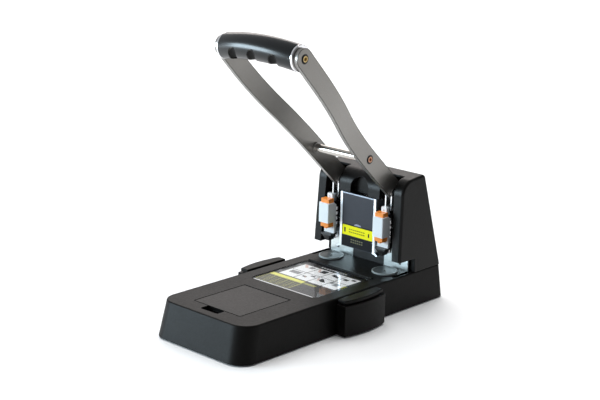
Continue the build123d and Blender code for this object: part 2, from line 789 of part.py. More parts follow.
with BuildPart() as shaft_clips:
    for _, side in SIDES:
        near, far = side * (cheek_x + cheek_thickness), side * (cheek_x + cheek_thickness + clip_width)
        rod_x(near, far, pivot_y, pivot_z, clip_radius)
        rod_x(near, far, pivot_y, pivot_z, shaft_radius, Mode.SUBTRACT)
shaft_clips.part.label = "shaft_clips"
export_step(shaft_clips.part, "parts/shaft_clips.step")

inner_stop_x = hub_low_x - bush_flange - running_gap
outer_stop_x = hub_high_x + bush_flange + running_gap
with BuildPart() as shaft_spacers:
    for x0, x1 in ((-inner_stop_x, inner_stop_x), (outer_stop_x, cheek_x), (-cheek_x, -outer_stop_x)):
        rod_x(x0, x1, pivot_y, pivot_z, spacer_radius)
        rod_x(x0, x1, pivot_y, pivot_z, shaft_radius, Mode.SUBTRACT)
shaft_spacers.part.label = "shaft_spacers"
export_step(shaft_spacers.part, "parts/shaft_spacers.step")

# ==== lever ===================================================================================
bush_radius = shaft_radius + bush_wall
crank_angle = atan2(upper_pin_z - pivot_z, punch_y - pivot_y) - lean
crank_along = crank_radius * cos(crank_angle)
crank_under = crank_radius * sin(crank_angle)
bar_at = arm_bend_from
bar_under = arm_sag * (1 - (2 * bar_at / lever_length - 1) ** 2)
bar_y, bar_axis_z = on_lever(bar_at, bar_under)
grip_y, grip_z = on_lever(lever_length, 0)
crank_y, crank_z = on_lever(crank_along, crank_under)
arm_low_face = arm_low_x + arm_thickness / 2
arm_high_face = arm_high_x + arm_thickness / 2


def arm_band(side):
    """Plan outline of an arm: straight, a double bend outwards, straight again."""
    start = -2 * hub_radius
    end = lever_length + arm_width
    middle = (arm_bend_from + arm_bend_to) / 2
    edges = []
    for step in (-arm_thickness / 2, arm_thickness / 2):
        low = side * (arm_low_x + step)
        high = side * (arm_high_x + step)
        first = Line((start, low), (arm_bend_from, low))
        out = TangentArc((arm_bend_from, low), (middle, (low + high) / 2), tangent=(1, 0))
        TangentArc((middle, (low + high) / 2), (arm_bend_to, high), tangent=out % 1)
        last = Line((arm_bend_to, high), (end, high))
        edges.append((first @ 0, last @ 1))
    Line(edges[0][0], edges[1][0])
    Line(edges[0][1], edges[1][1])


for name, side in SIDES:
    with BuildPart() as arm:
        with BuildSketch(lever_plan()):
            with BuildLine():
                arm_band(side)
            make_face()
        extrude(amount=2 * arm_width, both=True)
        # side outline: a gently bowed strip between the hub and the grip's end
        with BuildSketch(lever_side(0)):
            half = arm_width / 2
            with BuildLine():
                low_edge = ThreePointArc((0, half), (lever_length / 2, half + arm_sag),
                                         (lever_length, half))
                high_edge = ThreePointArc((0, -half), (lever_length / 2, arm_sag - half),
                                          (lever_length, -half))
                Line(low_edge @ 0, high_edge @ 0)
                ThreePointArc((lever_length, half), (lever_length + half, 0), (lever_length, -half))
            make_face()
            Circle(hub_radius)
        extrude(amount=beyond, both=True, mode=Mode.INTERSECT)
        inner_face, outer_face = side * (arm_low_x - arm_width), side * (arm_high_x + arm_width)
        rod_x(inner_face, outer_face, pivot_y, pivot_z, bush_radius, Mode.SUBTRACT)
        rod_x(inner_face, outer_face, crank_y, crank_z, crank_pin_radius, Mode.SUBTRACT)
        rod_x(inner_face, outer_face, bar_y, bar_axis_z, screw_shank_radius, Mode.SUBTRACT)
        rod_x(inner_face, outer_face, grip_y, grip_z, screw_shank_radius, Mode.SUBTRACT)
        rod_x(side * (arm_low_face - screw_recess), outer_face, bar_y, bar_axis_z,
              screw_head_radius + slide_gap, Mode.SUBTRACT)
        rod_x(side * (arm_high_face - screw_recess), outer_face, grip_y, grip_z,
              screw_head_radius + slide_gap, Mode.SUBTRACT)
    arm.part.label = f"arm_{name}"
    export_step(arm.part, f"parts/arm_{name}.step")

with BuildPart() as hub_bushes:
    for _, side in SIDES:
        inner = side * (hub_low_x - bush_flange)
        outer = side * (hub_high_x + bush_flange)
        rod_x(inner, outer, pivot_y, pivot_z, bush_radius)
        rod_x(inner, side * hub_low_x, pivot_y, pivot_z, bush_radius + bush_rim)
        rod_x(side * hub_high_x, outer, pivot_y, pivot_z, bush_radius + bush_rim)
        rod_x(inner, outer, pivot_y, pivot_z, shaft_radius + running_gap, Mode.SUBTRACT)
hub_bushes.part.label = "hub_bushes"
export_step(hub_bushes.part, "parts/hub_bushes.step")

link_inner_x = hub_low_x - link_gap - link_thickness
link_outer_x = hub_high_x + link_gap
pin_outer_x = link_outer_x + link_thickness
with BuildPart() as crank_pins:
    for _, side in SIDES:
        inner = side * (link_inner_x - pin_end_gap)
        outer = side * (pin_outer_x + pin_end_gap)
        rod_x(inner, outer, crank_y, crank_z, crank_pin_radius)
        rod_x(inner, inner - side * pin_head_height, crank_y, crank_z, crank_head_radius)
        rod_x(outer, outer + side * pin_head_height, crank_y, crank_z, crank_head_radius)
crank_pins.part.label = "crank_pins"
export_step(crank_pins.part, "parts/crank_pins.step")

with BuildPart() as crossbar:
    rod_x(-hub_low_x, hub_low_x, bar_y, bar_axis_z, crossbar_radius)
    for _, side in SIDES:
        rod_x(side * (hub_low_x - screw_shank_length), side * hub_low_x, bar_y, bar_axis_z,
              screw_shank_radius, Mode.SUBTRACT)
crossbar.part.label = "crossbar"
export_step(crossbar.part, "parts/crossbar.step")

with BuildPart() as crossbar_collars:
    for _, side in SIDES:
        near, far = side * (hub_low_x - collar_width), side * hub_low_x
        rod_x(near, far, bar_y, bar_axis_z, collar_radius)
        rod_x(near, far, bar_y, bar_axis_z, crossbar_radius, Mode.SUBTRACT)
crossbar_collars.part.label = "crossbar_collars"
export_step(crossbar_collars.part, "parts/crossbar_collars.step")

grip_arm_x = arm_high_x - arm_thickness / 2
grip_end_x = grip_arm_x - ring_gap - ring_width
with BuildPart() as grip_rod:
    rod_x(-grip_arm_x, grip_arm_x, grip_y, grip_z, grip_rod_radius)
    for _, side in SIDES:
        rod_x(side * (grip_arm_x - screw_shank_length), side * grip_arm_x, grip_y, grip_z,
              screw_shank_radius, Mode.SUBTRACT)
grip_rod.part.label = "grip_rod"
export_step(grip_rod.part, "parts/grip_rod.step")

with BuildPart() as grip_rings:
    for _, side in SIDES:
        near, far = side * grip_end_x, side * (grip_arm_x - ring_gap)
        rod_x(near, far, grip_y, grip_z, grip_radius)
        rod_x(near, far, grip_y, grip_z, grip_rod_radius, Mode.SUBTRACT)
    fillet(grip_rings.edges().filter_by(GeomType.CIRCLE).filter_by(
        lambda edge: edge.radius > grip_rod_radius), ring_edge)
grip_rings.part.label = "grip_rings"
export_step(grip_rings.part, "parts/grip_rings.step")

with BuildPart() as hand_grip:
    with BuildLine() as grip_line:
        crown_y, crown_z = on_lever(lever_length + grip_crown, 0)
        end_y, end_z = on_lever(lever_length, 0)
        ThreePointArc((-grip_end_x, end_y, end_z), (0, crown_y, crown_z), (grip_end_x, end_y, end_z))
    with BuildSketch(Plane(origin=grip_line.line @ 0, z_dir=grip_line.line % 0)):
        Circle(grip_radius)
    sweep()
    block(-grip_end_x, grip_end_x, -beyond, beyond, 0, beyond, Mode.INTERSECT)
    rod_x(-grip_end_x, grip_end_x, grip_y, grip_z, grip_rod_radius, Mode.SUBTRACT)
    # slanted hollows for the fingers on the lower front
    for place in finger_places:
        bow = grip_crown * (1 - (place / grip_end_x) ** 2)
        cut_y, cut_z = on_lever(lever_length + bow, grip_radius + finger_radius - finger_depth)
        groove = Plane(origin=(place, cut_y, cut_z), x_dir=(1, 0, 0), z_dir=along)
        with BuildSketch(groove.rotated((0, finger_slant, 0))):
            Circle(finger_radius)
        extrude(amount=grip_radius, both=True, mode=Mode.SUBTRACT)
hand_grip.part.label = "hand_grip"
export_step(hand_grip.part, "parts/hand_grip.step")

with BuildPart() as lever_screws:
    for _, side in SIDES:
        for x, y, z in ((arm_low_face, bar_y, bar_axis_z), (arm_high_face, grip_y, grip_z)):
            seat = side * (x - screw_recess)
            rod_x(seat, seat + side * screw_head_height, y, z, screw_head_radius)
            rod_x(side * (x - arm_thickness - screw_shank_length), seat, y, z, screw_shank_radius)
            with BuildSketch(facing_right(seat + side * screw_head_height)) as socket:
                with Locations((y, z)):
                    RegularPolygon(hex_socket / 2, 6, major_radius=False)
            extrude(socket.sketch, amount=-side * hex_depth, mode=Mode.SUBTRACT)
lever_screws.part.label = "lever_screws"
export_step(lever_screws.part, "parts/lever_screws.step")

# ==== punch stations ==========================================================================
carrier_rear_y = carrier_y + carrier_thickness
rib_neck_y = carrier_rear_y + rib_neck_depth
rib_head_y = rib_neck_y + rib_head_depth
guide_front_y = carrier_rear_y + guide_front_gap
cartridge_y = carrier_y - cartridge_depth
sleeve_y = carrier_y - sleeve_depth
head_top_z = head_floor_z + saddle_height
lug_room = (lug_low_z - 2 * lug_gap, lug_high_z + lug_gap)
lug_room_half_width = lug_half_width + lug_gap
spring_rest_z = guide_low_z + guide_height
wrist_inner_x = link_inner_x - pin_end_gap
wrist_outer_x = pin_outer_x + pin_end_gap

for name, side in SIDES:
    centre = side * half_pitch

    # links hang from the lever, with an open hole at the punch
    with BuildPart() as link_plates:
        for x0, x1 in ((link_inner_x, link_inner_x + link_thickness), (link_outer_x, pin_outer_x)):
            with BuildSketch(facing_right(side * x0)) as plate:
                with Locations((punch_y, upper_pin_z)):
                    Circle(link_radius)
                with Locations((punch_y + crank_side_step / 2, lower_pin_z)):
                    SlotOverall(2 * link_tip_radius + crank_side_step, 2 * link_tip_radius)
                with Locations((punch_y, (upper_pin_z + lower_pin_z) / 2)):
                    Rectangle(link_waist, link_length)
                with Locations((punch_y, upper_pin_z)):
                    Circle(crank_pin_radius + running_gap, mode=Mode.SUBTRACT)
                with Locations((punch_y + crank_side_step / 2, lower_pin_z)):
                    SlotOverall(2 * (wrist_pin_radius + wrist_slack) + crank_side_step,
                                2 * (wrist_pin_radius + wrist_slack), mode=Mode.SUBTRACT)
            extrude(plate.sketch, amount=side * (x1 - x0))
    link_plates.part.label = f"link_plates_{name}"
    export_step(link_plates.part, f"parts/link_plates_{name}.step")

    with BuildPart() as punch_head:
        block(centre - head_half_width, centre + head_half_width, punch_y - head_half_depth,
              punch_y + head_half_depth, head_floor_z, head_top_z)
        block(side * (hub_low_x - tongue_side_gap), side * (hub_high_x + tongue_side_gap),
              punch_y - tongue_half_depth, punch_y + tongue_half_depth, head_top_z,
              lower_pin_z + tongue_top_over_pin)
        fillet(punch_head.edges().filter_by(Axis.X).group_by(Axis.Z)[-1], tongue_edge)
        block(centre - lug_half_width, centre + lug_half_width, carrier_y - lug_reach,
              punch_y - head_half_depth, lug_low_z, lug_high_z)
        rod_x(side * wrist_inner_x, side * wrist_outer_x, punch_y, lower_pin_z, wrist_pin_radius,
              Mode.SUBTRACT)
        rod_z(centre, punch_y, head_floor_z, head_floor_z + punch_seat, punch_radius, Mode.SUBTRACT)
    punch_head.part.label = f"punch_head_{name}"
    export_step(punch_head.part, f"parts/punch_head_{name}.step")

    with BuildPart() as punch_pin:
        rod_z(centre, punch_y, tip_z, head_floor_z + punch_seat, punch_radius)
        rod_z(centre, punch_y, tip_z, head_floor_z - punch_hollow_length, chip_bore_radius,
              Mode.SUBTRACT)
        # hollow ground end, and a window that lets the chips out
        rod_x(centre - grind_radius, centre + grind_radius, punch_y, tip_z + grind_rise - grind_radius,
              grind_radius, Mode.SUBTRACT)
        block(centre, centre + side * grind_radius, punch_y - chip_slot_half_width,
              punch_y + chip_slot_half_width, guide_low_z + chip_slot_low, guide_low_z + chip_slot_high,
              Mode.SUBTRACT)
    punch_pin.part.label = f"punch_pin_{name}"
    export_step(punch_pin.part, f"parts/punch_pin_{name}.step")

    with BuildPart() as wrist_pin:
        rod_x(side * wrist_inner_x, side * wrist_outer_x, punch_y, lower_pin_z, wrist_pin_radius)
        rod_x(side * wrist_inner_x, side * (wrist_inner_x - pin_head_height), punch_y, lower_pin_z,
              pin_head_radius)
        rod_x(side * wrist_outer_x, side * (wrist_outer_x + pin_head_height), punch_y, lower_pin_z,
              pin_head_radius)
    wrist_pin.part.label = f"wrist_pin_{name}"
    export_step(wrist_pin.part, f"parts/wrist_pin_{name}.step")

    # block that both the punch and the presser foot slide in
    with BuildPart() as guide_block:
        block(centre - guide_half_width, centre + guide_half_width, guide_front_y, back_y, guide_low_z,
              guide_low_z + guide_height)
        rod_z(centre, punch_y, guide_low_z, guide_low_z + guide_height, punch_radius + running_gap,
              Mode.SUBTRACT)
        neck = rib_neck_half_width + slide_gap
        head = rib_head_half_width + slide_gap
        block(centre - neck, centre + neck, guide_front_y, rib_neck_y, guide_low_z,
              guide_low_z + guide_height, Mode.SUBTRACT)
        block(centre - head, centre + head, rib_neck_y - slide_gap, rib_head_y + slide_gap, guide_low_z,
              guide_low_z + guide_height, Mode.SUBTRACT)
    guide_block.part.label = f"guide_block_{name}"
    export_step(guide_block.part, f"parts/guide_block_{name}.step")

    # presser unit: steel carrier, orange cartridge, white sleeve and black foot
    with BuildPart() as carrier:
        block(centre - carrier_half_width, centre + carrier_half_width, carrier_y, carrier_rear_y,
              carrier_low_z, carrier_shoulder_z)
        block(centre - carrier_tab_half_width, centre + carrier_tab_half_width, carrier_y,
              carrier_rear_y, carrier_shoulder_z, carrier_top_z)
        fillet(carrier.edges().filter_by(Axis.Y).group_by(Axis.Z)[-1], carrier_corner)
        block(centre - lug_room_half_width, centre + lug_room_half_width, carrier_y, carrier_rear_y,
              *lug_room, Mode.SUBTRACT)
        with BuildSketch(facing_front(carrier_rear_y)) as hole:
            with Locations((centre, carrier_top_z - carrier_tab_half_width)):
                Circle(carrier_tab_hole_radius)
        extrude(hole.sketch, amount=carrier_thickness, mode=Mode.SUBTRACT)
        block(centre - rib_neck_half_width, centre + rib_neck_half_width, carrier_rear_y, rib_neck_y,
              carrier_low_z, rib_top_z)
        block(centre - rib_head_half_width, centre + rib_head_half_width, rib_neck_y, rib_head_y,
              carrier_low_z, rib_top_z)
    carrier.part.label = f"foot_carrier_{name}"
    export_step(carrier.part, f"parts/foot_carrier_{name}.step")

    with BuildPart() as cartridge:
        block(centre - cartridge_half_width, centre + cartridge_half_width, cartridge_y, carrier_y,
              cartridge_low_z, cartridge_top_z)
        fillet(cartridge.edges().filter_by(Axis.Z).group_by(Axis.Y)[0], cartridge_corner)
        # nib at the middle of the lower end
        block(centre - nib_half_width, centre + nib_half_width, cartridge_y + nib_setback, carrier_y,
              cartridge_low_z - nib_height, cartridge_low_z)
        # the lug of the punch reaches in at the back
        block(centre - lug_room_half_width, centre + lug_room_half_width,
              carrier_y - lug_reach - lug_gap, carrier_y, *lug_room, Mode.SUBTRACT)
    cartridge.part.label = f"cartridge_{name}"
    export_step(cartridge.part, f"parts/cartridge_{name}.step")

    with BuildPart() as sleeve:
        block(centre - sleeve_half_width, centre + sleeve_half_width, sleeve_y, carrier_y,
              sleeve_low_z, sleeve_top_z)
        fillet(sleeve.edges().filter_by(Axis.Z).group_by(Axis.Y)[0], sleeve_corner)
        with BuildSketch(Plane.XY.offset(sleeve_low_z)) as inside:
            with Locations((centre, (cartridge_y + carrier_y) / 2)):
                Rectangle(2 * cartridge_half_width, carrier_y - cartridge_y)
            fillet(inside.vertices().group_by(Axis.Y)[0], cartridge_corner)
        extrude(inside.sketch, amount=sleeve_top_z - sleeve_low_z, mode=Mode.SUBTRACT)
    sleeve.part.label = f"sleeve_{name}"
    export_step(sleeve.part, f"parts/sleeve_{name}.step")

    with BuildPart() as presser_foot:
        front, rear = wedge_front_y, rib_head_y
        block(centre - guide_half_width, centre + guide_half_width, front, rear,
              carrier_low_z - wedge_plate, carrier_low_z)
        with BuildSketch(Plane.XY.offset(wedge_z)) as sole:
            with Locations((centre, (front + wedge_rake + rear) / 2)):
                Rectangle(2 * wedge_sole_half_width, rear - front - wedge_rake)
        with BuildSketch(Plane.XY.offset(carrier_low_z - wedge_plate)) as root:
            with Locations((centre, (front + rear) / 2)):
                Rectangle(2 * wedge_root_half_width, rear - front)
        loft([sole.sketch, root.sketch])
    presser_foot.part.label = f"presser_foot_{name}"
    export_step(presser_foot.part, f"parts/presser_foot_{name}.step")

    with BuildPart() as return_spring:
        pitch = (head_floor_z - spring_rest_z - spring_wire) / spring_turns
        with BuildLine(Plane.XY) as coil:
            Helix(pitch, pitch * spring_turns, spring_radius,
                  center=(centre, punch_y, spring_rest_z + spring_wire / 2))
        with BuildSketch(Plane(origin=coil.line @ 0, z_dir=coil.line % 0)):
            Circle(spring_wire / 2)
        sweep(is_frenet=True)
        # ground flat ends
        block(0, side * beyond, 0, beyond, spring_rest_z, head_floor_z, Mode.INTERSECT)
    return_spring.part.label = f"return_spring_{name}"
    export_step(return_spring.part, f"parts/return_spring_{name}.step")

# ==== side guides =============================================================================
runner_front_y = bar_places["right"][0] - runner_end
runner_rear_y = bar_places["left"][1] + bar_width + runner_end
with BuildPart() as bar_runner:
    block(-runner_x, runner_x, runner_front_y, runner_rear_y, cover_top_z,
          bar_z + bar_height + runner_roof)
    for name, side in SIDES:
        for low_y in bar_places[name]:
            block(-runner_x, runner_x, low_y - slide_gap, low_y + bar_width + slide_gap,
                  bar_z - slide_gap, bar_z + bar_height + slide_gap, Mode.SUBTRACT)
bar_runner.part.label = "bar_runner"
export_step(bar_runner.part, "parts/bar_runner.step")

guide_middle_y = (guide_block_front_y + guide_block_rear_y) / 2
lip_front_y = guide_block_front_y + guide_lip_setback
lip_rear_y = guide_block_rear_y - guide_lip_setback


def bowed_slab(side, end_x, front_y, rear_y, low_z, high_z):
    """Slab beside the base, straight on the inside and bowed outwards on the outside."""
    with BuildSketch(Plane.XY.offset(low_z)) as outline:
        with BuildLine():
            Line((side * guide_inner_x, front_y), (side * end_x, front_y))
            ThreePointArc((side * end_x, front_y), (side * (end_x + guide_bulge), guide_middle_y),
                          (side * end_x, rear_y))
            Line((side * end_x, rear_y), (side * guide_inner_x, rear_y))
            Line((side * guide_inner_x, rear_y), (side * guide_inner_x, front_y))
        make_face()
    extrude(outline.sketch, amount=high_z - low_z)


for name, side in SIDES:
    with BuildPart() as side_guide:
        # lip that the sheet's edge runs against
        bowed_slab(side, guide_end_x - guide_lip_inset, lip_front_y, lip_rear_y, guide_lip_low_z,
                   guide_lip_top_z)
        fillet(side_guide.edges().group_by(Axis.Z)[-1], guide_lip_edge)
        bowed_slab(side, guide_end_x, guide_block_front_y, guide_block_rear_y, guide_floor_z,
                   guide_shoulder_z)
        # narrow neck between the two
        block(side * guide_inner_x, side * guide_root_x, lip_front_y + guide_root_setback,
              lip_rear_y - guide_root_setback, guide_shoulder_z, guide_lip_low_z)
        for low_y in bar_places[name]:
            block(side * guide_inner_x, side * (guide_inner_x + bar_socket), low_y, low_y + bar_width,
                  bar_z, bar_z + bar_height, Mode.SUBTRACT)
    side_guide.part.label = f"side_guide_{name}"
    export_step(side_guide.part, f"parts/side_guide_{name}.step")

    with BuildPart() as guide_bars:
        outer = side * (guide_inner_x + bar_socket)
        for low_y in bar_places[name]:
            block(outer - side * bar_length, outer, low_y, low_y + bar_width, bar_z, bar_z + bar_height)
    guide_bars.part.label = f"guide_bars_{name}"
    export_step(guide_bars.part, f"parts/guide_bars_{name}.step")
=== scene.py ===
"""Looks of the heavy-duty lever punch: finishes, printed card and label, springs, studio, camera.

Lengths are millimetres in the constants and metres in the meshes, and the studio is in metres.
"""

from math import cos, pi, radians, sin

import bmesh
import bpy
from mathutils import Matrix, Vector


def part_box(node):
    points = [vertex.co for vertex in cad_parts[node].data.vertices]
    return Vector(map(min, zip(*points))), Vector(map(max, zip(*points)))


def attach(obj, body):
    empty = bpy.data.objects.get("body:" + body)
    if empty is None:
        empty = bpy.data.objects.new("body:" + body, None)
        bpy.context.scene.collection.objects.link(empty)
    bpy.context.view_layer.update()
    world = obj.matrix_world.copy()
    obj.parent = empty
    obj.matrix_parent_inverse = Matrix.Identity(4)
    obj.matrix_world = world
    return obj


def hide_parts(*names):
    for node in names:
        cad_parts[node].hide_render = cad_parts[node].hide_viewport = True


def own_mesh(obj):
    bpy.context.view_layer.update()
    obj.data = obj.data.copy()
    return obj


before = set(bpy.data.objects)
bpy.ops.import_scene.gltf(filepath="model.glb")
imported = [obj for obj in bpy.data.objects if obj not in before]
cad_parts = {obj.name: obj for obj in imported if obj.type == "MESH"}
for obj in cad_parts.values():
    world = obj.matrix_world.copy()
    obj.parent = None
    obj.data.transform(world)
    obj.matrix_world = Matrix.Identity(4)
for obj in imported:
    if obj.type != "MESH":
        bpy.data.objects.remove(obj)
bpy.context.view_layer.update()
MM = 0.001
SIDES = ("left", "right")


def both(*kinds):
    """Names of the left and the right piece of each kind."""
    return [f"{kind}_{side}" for kind in kinds for side in SIDES]


# ---- camera ----------------------------------------------------------------------------------
CAMERA_PLACE = (975.158, -1063.05, 521.965)
CAMERA_AZIMUTH = 42.80
CAMERA_ELEVATION = 15.172
CAMERA_ROLL = 1.334
CAMERA_LENS = 83.46
SENSOR_WIDTH = 36.0
VIEW_DEPTH = 20.0  # metres


def place_camera():
    """A long lens at the right front of the base, a little above it."""
    azimuth, elevation, roll = (radians(v) for v in (CAMERA_AZIMUTH, CAMERA_ELEVATION, CAMERA_ROLL))
    back = Vector((sin(azimuth) * cos(elevation), -cos(azimuth) * cos(elevation), sin(elevation)))
    level = Vector((cos(azimuth), sin(azimuth), 0.0))
    upright = back.cross(level)
    right = cos(roll) * level + sin(roll) * upright
    up = cos(roll) * upright - sin(roll) * level
    data = bpy.data.cameras.new("studio_camera")
    data.lens = CAMERA_LENS
    data.sensor_width = SENSOR_WIDTH
    data.clip_end = VIEW_DEPTH
    camera = bpy.data.objects.new("studio_camera", data)
    turn = Matrix((right, up, back)).transposed()
    camera.matrix_world = Matrix.Translation(Vector(CAMERA_PLACE) * MM) @ turn.to_4x4()
    bpy.context.scene.collection.objects.link(camera)
    bpy.context.scene.camera = camera


# ---- shader expressions ----------------------------------------------------------------------
class Wire:
    """A shader socket that takes part in Python arithmetic."""

    def __init__(self, finish, socket):
        self.finish = finish
        self.socket = socket

    def math(self, operation, *values):
        return self.finish.node("ShaderNodeMath", {"operation": operation}, dict(enumerate(values)))

    def __add__(self, other):
        return self.math("ADD", self, other)

    __radd__ = __add__

    def __sub__(self, other):
        return self.math("SUBTRACT", self, other)

    def __rsub__(self, other):
        return self.math("SUBTRACT", other, self)

    def __mul__(self, other):
        return self.math("MULTIPLY", self, other)

    __rmul__ = __mul__

    def __truediv__(self, other):
        return self.math("DIVIDE", self, other)

    def __gt__(self, other):
        return self.math("GREATER_THAN", self, other)

    def __lt__(self, other):
        return self.math("LESS_THAN", self, other)

    def __abs__(self):
        return self.math("ABSOLUTE", self)

    def clamp(self):
        return self.math("MAXIMUM", self.math("MINIMUM", self, 1.0), 0.0)

    def wave(self):
        return self.math("SINE", self)


class Finish:
    """One material, or the studio's air, with its nodes made by expression."""

    def __init__(self, name, collection="materials", shader_kind="BSDF_PRINCIPLED"):
        self.material = getattr(bpy.data, collection).new(name)
        self.material.use_nodes = True
        self.tree = self.material.node_tree
        self.shader = next(n for n in self.tree.nodes if n.type == shader_kind)

    def node(self, kind, settings=None, inputs=None, output=0):
        """A node of any kind: its settings come first, then the values or wires of its sockets."""
        made = self.tree.nodes.new(kind)
        for name, value in (settings or {}).items():
            setattr(made, name, value)
        for name, value in (inputs or {}).items():
            self.feed(made.inputs[name], value)
        return Wire(self, made.outputs[output])

    def feed(self, socket, value):
        if isinstance(value, Wire):
            self.tree.links.new(value.socket, socket)
        elif isinstance(value, tuple) and len(value) == 3 and socket.type == "RGBA":
            socket.default_value = (*value, 1.0)
        else:
            socket.default_value = value

    def set(self, **values):
        """Values or wires for the shader's sockets, whose spaces are written as underscores."""
        for name, value in values.items():
            self.feed(self.shader.inputs[name.replace("_", " ")], value)

    def place(self):
        return self.node("ShaderNodeTexCoord", output="Object")

    def along(self, axis, vector=None):
        """One component of a vector, by its name."""
        return self.node("ShaderNodeSeparateXYZ", {}, {0: vector or self.place()}, axis)

    def offset(self, axis, middle):
        """Millimetres from a place on an axis; on X the left and the right side are one."""
        spot = self.along(axis)
        if axis == "X":
            spot, middle = abs(spot), abs(middle)
        return spot / MM - middle

    def reach(self, first, second):
        """Distance in millimetres from a line, given by its places on the two axes across it."""
        a, b = self.offset(*first), self.offset(*second)
        square = a * a + b * b
        return square.math("SQRT", square)

    def stretched(self, scale, turn=(0.0, 0.0, 0.0)):
        """Object coordinates turned about the axes, in degrees, then scaled along each."""
        turned = self.node("ShaderNodeMapping", {"vector_type": "TEXTURE"},
                           {"Vector": self.place(), "Rotation": tuple(radians(v) for v in turn)})
        return self.node("ShaderNodeVectorMath", {"operation": "MULTIPLY"}, {0: turned, 1: scale})

    def noise(self, scale, detail=3.0, roughness=0.5, vector=None):
        """Cloudy noise of so many spots a metre."""
        inputs = {"Scale": scale, "Detail": detail, "Roughness": roughness}
        inputs["Vector"] = vector or self.place()
        return self.node("ShaderNodeTexNoise", {"noise_dimensions": "3D"}, inputs)

    def blend(self, factor, first, second):
        """Colour mix from first to second."""
        return self.node("ShaderNodeMix", {"data_type": "RGBA"}, {0: factor, 6: first, 7: second}, 2)

    def rounded(self, radius):
        """Normal of the surface with its sharp edges rounded, in millimetres."""
        return self.node("ShaderNodeBevel", {"samples": 6}, {"Radius": radius * MM}, "Normal")

    def bump(self, height, depth, surface=None):
        """Relief of the given depth in millimetres, over the given normal."""
        inputs = {"Height": height, "Distance": depth * MM}
        if surface:
            inputs["Normal"] = surface
        return self.node("ShaderNodeBump", {}, inputs)


# ---- plastics --------------------------------------------------------------------------------
PLASTIC_EDGE = 0.9
CLOUDS = 18.0
MOTTLES = 300.0
SCUFF_STRETCH = (60.0, 300.0, 120.0)
SCUFF_TURN = (0, 0, 25)
SCUFF_LEVEL = 0.62
SCUFF_CONTRAST = 6.0
# width of the painted shade along the lid's outline, in millimetres
LID_SEAM_SHADE_WIDTH = 0.8
LID_PIN_REACH = 2.2  # how far the hinge pins stand out of the lid's sides
# colour of the painted shade in the gap round the lid
SEAM_PAINTED_SHADE = (0.001, 0.001, 0.001)


def lid_seam_shade(finish):
    """Band along the lid's outline, painted dark and dull as the shade in the gap round the lid."""
    (_, y0, _), (x1, y1, _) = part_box("storage_lid")
    half_width = x1 / MM - LID_PIN_REACH - LID_SEAM_SHADE_WIDTH
    x, y = abs(finish.along("X")) / MM, finish.along("Y") / MM
    return ((x > half_width) + (y < y0 / MM + LID_SEAM_SHADE_WIDTH) + (y > y1 / MM - LID_SEAM_SHADE_WIDTH)).clamp()


def moulded(name, dark, light, roughness, grain=0.9, depth=0.05, specular=0.5, seam_shade=None):
    """Matt moulded plastic: pebbled grain, faint cloudiness and handling marks."""
    finish = Finish(name)
    cloud = finish.noise(CLOUDS, 4.0)
    pebble = finish.noise(1.0 / (grain * MM), 2.0, 0.6)
    scuff = finish.noise(1.0, 5.0, 0.65, finish.stretched(SCUFF_STRETCH, SCUFF_TURN))
    marks = ((scuff - SCUFF_LEVEL) * SCUFF_CONTRAST).clamp()
    tone = finish.blend((cloud * 0.7 + pebble * 0.3).clamp(), dark, light)
    mottle = finish.noise(MOTTLES, 3.0, 0.6)
    gloss = roughness + (cloud - 0.5) * 0.10 + (mottle - 0.5) * 0.16 + marks * 0.06
    # painted shade: a band along a seam is darkened and dulled where shade falls in the gap
    if seam_shade:
        line = seam_shade(finish)
        tone, gloss = finish.blend(line, tone, SEAM_PAINTED_SHADE), gloss + line * 0.5
    finish.set(Base_Color=tone, Roughness=gloss, Specular_IOR_Level=specular)
    finish.set(Normal=finish.bump(pebble + mottle * 2.0, depth, finish.rounded(PLASTIC_EDGE)))
    return finish.material


SHEEN_CLOUDS = 220.0 / 6
SHEEN_GRAIN = 220.0 * 8
SHEEN_DEPTH = 0.01


def glossy(name, dark, light, roughness, specular=0.5):
    """Smooth plastic or print with a soft sheen and slightly uneven gloss."""
    finish = Finish(name)
    cloud = finish.noise(SHEEN_CLOUDS, 3.0)
    fine = finish.noise(SHEEN_GRAIN, 2.0)
    finish.set(Base_Color=finish.blend(cloud, dark, light), Specular_IOR_Level=specular)
    finish.set(Roughness=roughness + (cloud - 0.5) * 0.1 + (fine - 0.5) * 0.04)
    finish.set(Normal=finish.bump(fine, SHEEN_DEPTH))
    return finish.material


def printed(name, colour, roughness=0.45, specular=0.5):
    """Flat printing ink on card, a little uneven in tone."""
    finish = Finish(name)
    cloud = finish.noise(90.0, 3.0)
    fine = finish.noise(2500.0, 2.0)
    paler = tuple(min(1.0, c * 1.12 + 0.004) for c in colour)
    finish.set(Base_Color=finish.blend((cloud * 0.6 + fine * 0.4).clamp(), colour, paler))
    finish.set(Roughness=roughness + (fine - 0.5) * 0.08, Specular_IOR_Level=specular)
    return finish.material


CLEAR_FACING = 0.02
CLEAR_GLANCE = 0.45
GLANCE_POWER = 5.0


def clear_plastic():
    """Thin clear sheet: it mirrors what is glancing and lets the rest through."""
    finish = Finish("window_clear_sheet")
    fine = finish.noise(700.0, 2.0)
    glance = finish.node("ShaderNodeLayerWeight", {}, {"Blend": 0.5}, "Facing")
    finish.set(Base_Color=(0.97, 0.98, 1.0), Metallic=1.0, Roughness=0.03 + fine * 0.03)
    finish.set(Alpha=CLEAR_FACING + glance.math("POWER", glance, GLANCE_POWER) * CLEAR_GLANCE)
    return finish.material


def middle_of(node):
    """Centre of a node's box, in millimetres."""
    return tuple((low + high) / 2 / MM for low, high in zip(*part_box(node)))


DISC_MIDDLE = middle_of("cutting_disc_right")
# radius beyond which the disc's rim is painted paler as a highlight, in millimetres
DISC_RIM_HIGHLIGHT = 13.1
RING_RATE = 5.0  # radians a millimetre


